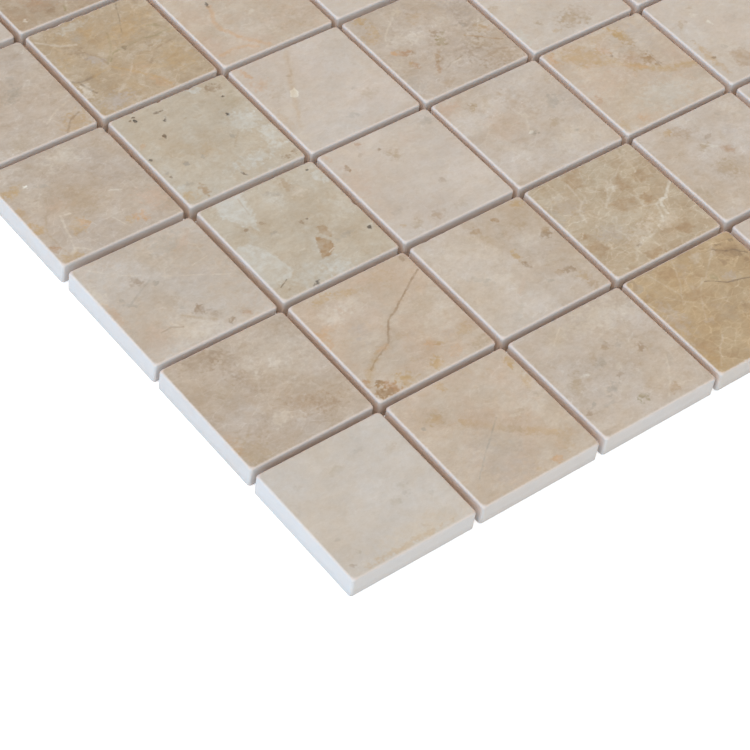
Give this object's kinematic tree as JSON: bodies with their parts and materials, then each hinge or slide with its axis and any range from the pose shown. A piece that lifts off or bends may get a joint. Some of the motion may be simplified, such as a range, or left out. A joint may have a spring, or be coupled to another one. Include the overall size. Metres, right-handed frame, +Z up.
{
  "type": "mosaic tile sheet",
  "caption": "Square sheet of square marble mosaic chips with eased arrises, set with open joints on a thin openwork backing net.",
  "frame": {"origin": "centre of the sheet's underside, on the bottom of the net", "axes": "+Z up, out of the polished face; +X and +Y along the sheet's two edges"},
  "size_m": [0.3024, 0.3024, 0.0084],
  "materials": {
    "cream_marble": "polished face, sawn sides, pale cream with faint clouds",
    "beige_marble": "polished face, sawn sides, warm beige with soft tan clouds",
    "rose_marble": "polished face, sawn sides, pinkish beige with ochre stains",
    "tan_marble": "polished face, sawn sides, grey-tan and mottled",
    "breccia_marble": "polished face, sawn sides, golden brown with a pale crackle",
    "glass_fibre_net": "openwork net of coated white glass-fibre thread"
  },
  "bodies": {
    "root": {"chip_r1_c1": "cream_marble", "chip_r1_c2": "rose_marble", "chip_r1_c3": "beige_marble", "chip_r1_c4": "breccia_marble", "chip_r1_c5": "cream_marble", "chip_r1_c6": "beige_marble", "chip_r2_c1": "tan_marble", "chip_r2_c2": "rose_marble", "chip_r2_c3": "beige_marble", "chip_r2_c4": "breccia_marble", "chip_r2_c5": "beige_marble", "chip_r2_c6": "cream_marble", "chip_r3_c1": "beige_marble", "chip_r3_c2": "beige_marble", "chip_r3_c3": "cream_marble", "chip_r3_c4": "beige_marble", "chip_r3_c5": "rose_marble", "chip_r3_c6": "cream_marble", "chip_r4_c1": "tan_marble", "chip_r4_c2": "beige_marble", "chip_r4_c3": "cream_marble", "chip_r4_c4": "tan_marble", "chip_r4_c5": "cream_marble", "chip_r4_c6": "beige_marble", "chip_r5_c1": "tan_marble", "chip_r5_c2": "tan_marble", "chip_r5_c3": "rose_marble", "chip_r5_c4": "cream_marble", "chip_r5_c5": "breccia_marble", "chip_r5_c6": "rose_marble", "chip_r6_c1": "cream_marble", "chip_r6_c2": "tan_marble", "chip_r6_c3": "beige_marble", "chip_r6_c4": "breccia_marble", "chip_r6_c5": "cream_marble", "chip_r6_c6": "tan_marble", "net_r1_c1": "glass_fibre_net", "net_r1_c2": "glass_fibre_net", "net_r1_c3": "glass_fibre_net", "net_r2_c1": "glass_fibre_net", "net_r2_c2": "glass_fibre_net", "net_r2_c3": "glass_fibre_net", "net_r3_c1": "glass_fibre_net", "net_r3_c2": "glass_fibre_net", "net_r3_c3": "glass_fibre_net"}
  },
  "joints": []
}
